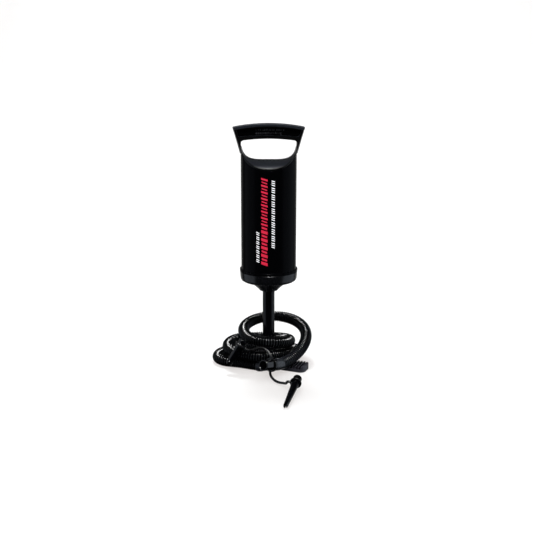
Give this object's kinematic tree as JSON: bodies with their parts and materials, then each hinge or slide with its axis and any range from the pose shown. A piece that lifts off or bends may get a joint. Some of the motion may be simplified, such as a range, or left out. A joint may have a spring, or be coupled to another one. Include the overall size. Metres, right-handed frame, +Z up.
{
  "type": "double action hand pump",
  "caption": "Upright air pump with a sliding barrel and grip on a hollow rod, a ribbed foot base, a coiled corrugated hose and push-in nozzles on a leash.",
  "frame": {"origin": "on the rod axis, in the plane the foot base stands on", "axes": "+Z up along the rod; +X along the length of the handle grip; -Y toward the side the hose end lies on; the foot base is turned -22.7 degrees about Z against the handle"},
  "size_m": [0.1573, 0.257, 0.3753],
  "materials": {
    "barrel_black": "semi-gloss moulded black",
    "handle_black": "satin moulded black",
    "cap_black": "satin moulded black",
    "bush_white": "slippery white bearing plastic",
    "gland_black": "matt black",
    "seal_rubber": "black rubber",
    "rod_black": "glossy black extruded tube",
    "inner_tube_grey": "grey plastic",
    "piston_grey": "dark grey moulded plastic",
    "screw_steel": "zinc plated steel",
    "valve_rubber": "red-brown rubber disc",
    "base_black": "satin moulded black",
    "hose_black": "glossy corrugated black hose",
    "cuff_black": "satin black sleeve",
    "fitting_black": "glossy black",
    "leash_rubber": "flexible black rubber",
    "nozzle_black": "glossy black"
  },
  "bodies": {
    "base": {"foot_base": "base_black", "base_bottom_cover": "base_black", "base_gasket": "seal_rubber", "base_screws": "screw_steel", "rod_outer_tube": "rod_black", "rod_inner_tube": "inner_tube_grey", "rod_o_ring": "seal_rubber", "piston_body": "piston_grey", "piston_cover": "piston_grey", "piston_seal": "seal_rubber", "piston_screws": "screw_steel", "hose": "hose_black", "hose_base_cuff": "cuff_black", "hose_end_fitting": "fitting_black", "hose_end_cuff": "cuff_black", "nozzle_leash": "leash_rubber"},
    "gland_seal": {"rod_lip_seal": "seal_rubber"},
    "barrel": {"barrel_tube": "barrel_black", "handle": "handle_black", "bottom_cap": "cap_black", "guide_bush": "bush_white", "gland_nut": "gland_black", "cap_o_ring": "seal_rubber"},
    "intake_disc_upper": {"valve_intake_upper": "valve_rubber"},
    "intake_disc_lower": {"valve_intake_lower": "valve_rubber"},
    "exhaust_disc_upper": {"valve_exhaust_upper": "valve_rubber"},
    "exhaust_disc_lower": {"valve_exhaust_lower": "valve_rubber"},
    "slim_nozzle": {"nozzle_slim": "nozzle_black"},
    "wide_nozzle": {"nozzle_wide": "nozzle_black"}
  },
  "joints": [
    {"name": "barrel_slide", "type": "slide", "parent": "base", "child": "gland_seal", "axis": [0, 0, 1], "range_m": [-0.078, 0.042]},
    {"name": "barrel_spin", "type": "hinge", "parent": "gland_seal", "child": "barrel", "pos_m": [0, 0, 0.2], "axis": [0, 0, 1], "continuous": true},
    {"name": "intake_upper_lift", "type": "slide", "parent": "base", "child": "intake_disc_upper", "axis": [0, 0, 1], "range_m": [0, 0.0019]},
    {"name": "intake_lower_lift", "type": "slide", "parent": "base", "child": "intake_disc_lower", "axis": [0, 0, -1], "range_m": [0, 0.0019]},
    {"name": "exhaust_upper_lift", "type": "slide", "parent": "base", "child": "exhaust_disc_upper", "axis": [0, 0, -1], "range_m": [0, 0.0019]},
    {"name": "exhaust_lower_lift", "type": "slide", "parent": "base", "child": "exhaust_disc_lower", "axis": [0, 0, 1], "range_m": [0, 0.0019]},
    {"name": "slim_nozzle_spin", "type": "hinge", "parent": "base", "child": "slim_nozzle", "pos_m": [0.03878, -0.11188, 0.01321], "axis": [-0.2404, -0.9615, -0.1334], "continuous": true},
    {"name": "wide_nozzle_spin", "type": "hinge", "parent": "base", "child": "wide_nozzle", "pos_m": [-0.04212, -0.03803, 0.04564], "axis": [-0.549, -0.0732, -0.8326], "continuous": true}
  ]
}
